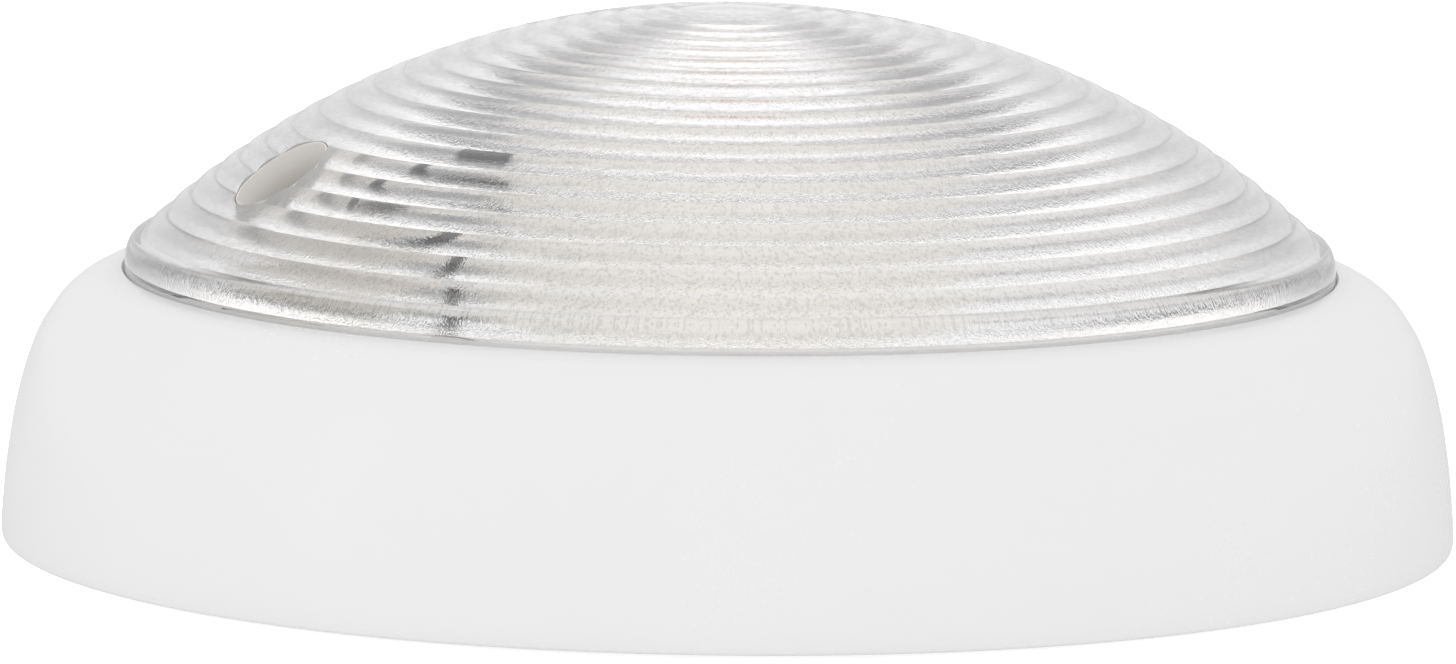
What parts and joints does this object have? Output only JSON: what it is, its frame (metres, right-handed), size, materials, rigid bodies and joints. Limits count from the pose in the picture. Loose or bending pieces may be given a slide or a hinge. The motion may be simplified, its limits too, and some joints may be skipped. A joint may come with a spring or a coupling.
{
  "type": "horn strobe",
  "caption": "Round fire alarm horn strobe: white twist-on housing, ribbed clear dome lens with a sound port, flash tube and sounder inside.",
  "frame": {"origin": "centre of the mounting plate back face", "axes": "+Z out of the ceiling or wall through the dome apex; the sound port in the lens is on the -X, -Y side; the terminals are on the +Y side"},
  "size_m": [0.1724, 0.1724, 0.0636],
  "materials": {
    "housing_white": "glossy moulded white housing",
    "lens_clear": "clear moulded lens plastic and clear tube glass",
    "inner_plastic": "satin off-white moulding",
    "reflector_cream": "cream-white reflector moulding",
    "horn_beige": "light beige-grey horn moulding",
    "sleeve_grey": "light grey capacitor sleeve",
    "white_insulation": "white silicone wire insulation",
    "silicone_pale": "pale silicone seal",
    "black_plastic": "black moulding or sleeve",
    "grey_plastic": "grey component body",
    "board_green": "green solder mask",
    "knob_white": "white knob",
    "brass": "bright stamped brass",
    "steel": "zinc-plated steel",
    "tin": "tinned metal",
    "copper": "enamelled copper",
    "rubber": "dark grey seal",
    "red_insulation": "red wire insulation"
  },
  "bodies": {
    "base": {"mounting_plate": "inner_plastic", "terminal_block": "black_plastic", "terminal_strip_1": "brass", "terminal_strip_2": "brass", "terminal_strip_3": "brass", "terminal_strip_4": "brass"},
    "head": {"bezel_screw_1": "steel", "bezel_screw_2": "steel", "bezel_screw_3": "steel", "candela_switch": "grey_plastic", "chassis": "inner_plastic", "circuit_board": "board_green", "contact_blade_1": "brass", "contact_blade_2": "brass", "contact_blade_3": "brass", "contact_blade_4": "brass", "controller_chip": "black_plastic", "cover_screw_1": "steel", "cover_screw_2": "steel", "cover_screw_3": "steel", "cover_screw_4": "steel", "flash_tube": "lens_clear", "horn_chamber": "horn_beige", "horn_throat": "horn_beige", "inductor": "grey_plastic", "inner_bezel": "inner_plastic", "lead_boot": "silicone_pale", "main_capacitor": "sleeve_grey", "piezo_disc": "brass", "power_transistor": "black_plastic", "reflector": "reflector_cream", "sounder_gasket": "rubber", "sounder_lead_1": "red_insulation", "sounder_lead_2": "black_plastic", "strobe_lead": "black_plastic", "strobe_tail": "white_insulation", "throat_gasket": "rubber", "tone_switch": "grey_plastic", "trigger_coil": "copper", "trigger_lead": "copper", "tube_cap_left": "tin", "tube_cap_right": "tin", "tube_lead_left": "tin", "tube_lead_right": "tin"},
    "cover": {"skirt_housing": "housing_white", "lens": "lens_clear", "lens_gasket": "silicone_pale", "lens_retainer": "inner_plastic", "port_collar": "horn_beige"},
    "candela_knob": {"candela_slider": "knob_white"},
    "tone_knob": {"tone_dial": "knob_white"},
    "clamp_1": {"terminal_clamp_1": "steel"},
    "screw_1": {"terminal_screw_1": "steel"},
    "clamp_2": {"terminal_clamp_2": "steel"},
    "screw_2": {"terminal_screw_2": "steel"},
    "clamp_3": {"terminal_clamp_3": "steel"},
    "screw_3": {"terminal_screw_3": "steel"},
    "clamp_4": {"terminal_clamp_4": "steel"},
    "screw_4": {"terminal_screw_4": "steel"}
  },
  "joints": [
    {"name": "head_twist", "type": "hinge", "parent": "base", "child": "head", "pos_m": [0, 0, 0], "axis": [0, 0, 1], "range_deg": [0, 20]},
    {"name": "cover_lift", "type": "slide", "parent": "head", "child": "cover", "axis": [0, 0, 1], "range_m": [0, 0.07]},
    {"name": "candela_slide", "type": "slide", "parent": "head", "child": "candela_knob", "axis": [1, 0, 0], "range_m": [-0.005, 0.005]},
    {"name": "tone_turn", "type": "hinge", "parent": "head", "child": "tone_knob", "pos_m": [0.025, -0.034, 0.0135], "axis": [0, 0, 1], "continuous": true},
    {"name": "terminal_clamp_1_lift", "type": "slide", "parent": "base", "child": "clamp_1", "axis": [0, 0, 1], "range_m": [0, 0.0018]},
    {"name": "terminal_screw_1_turn", "type": "hinge", "parent": "clamp_1", "child": "screw_1", "pos_m": [-0.021, 0.029, 0.008], "axis": [0, 0, 1], "range_deg": [0, 1081]},
    {"name": "terminal_clamp_2_lift", "type": "slide", "parent": "base", "child": "clamp_2", "axis": [0, 0, 1], "range_m": [0, 0.0018]},
    {"name": "terminal_screw_2_turn", "type": "hinge", "parent": "clamp_2", "child": "screw_2", "pos_m": [-0.007, 0.029, 0.008], "axis": [0, 0, 1], "range_deg": [0, 1081]},
    {"name": "terminal_clamp_3_lift", "type": "slide", "parent": "base", "child": "clamp_3", "axis": [0, 0, 1], "range_m": [0, 0.0018]},
    {"name": "terminal_screw_3_turn", "type": "hinge", "parent": "clamp_3", "child": "screw_3", "pos_m": [0.007, 0.029, 0.008], "axis": [0, 0, 1], "range_deg": [0, 1081]},
    {"name": "terminal_clamp_4_lift", "type": "slide", "parent": "base", "child": "clamp_4", "axis": [0, 0, 1], "range_m": [0, 0.0018]},
    {"name": "terminal_screw_4_turn", "type": "hinge", "parent": "clamp_4", "child": "screw_4", "pos_m": [0.021, 0.029, 0.008], "axis": [0, 0, 1], "range_deg": [0, 1081]}
  ],
  "couplings": [
    {"joint": "terminal_screw_1_turn", "follows": "terminal_clamp_1_lift", "rad_per_m": 10472},
    {"joint": "terminal_screw_2_turn", "follows": "terminal_clamp_2_lift", "rad_per_m": 10472},
    {"joint": "terminal_screw_3_turn", "follows": "terminal_clamp_3_lift", "rad_per_m": 10472},
    {"joint": "terminal_screw_4_turn", "follows": "terminal_clamp_4_lift", "rad_per_m": 10472}
  ]
}
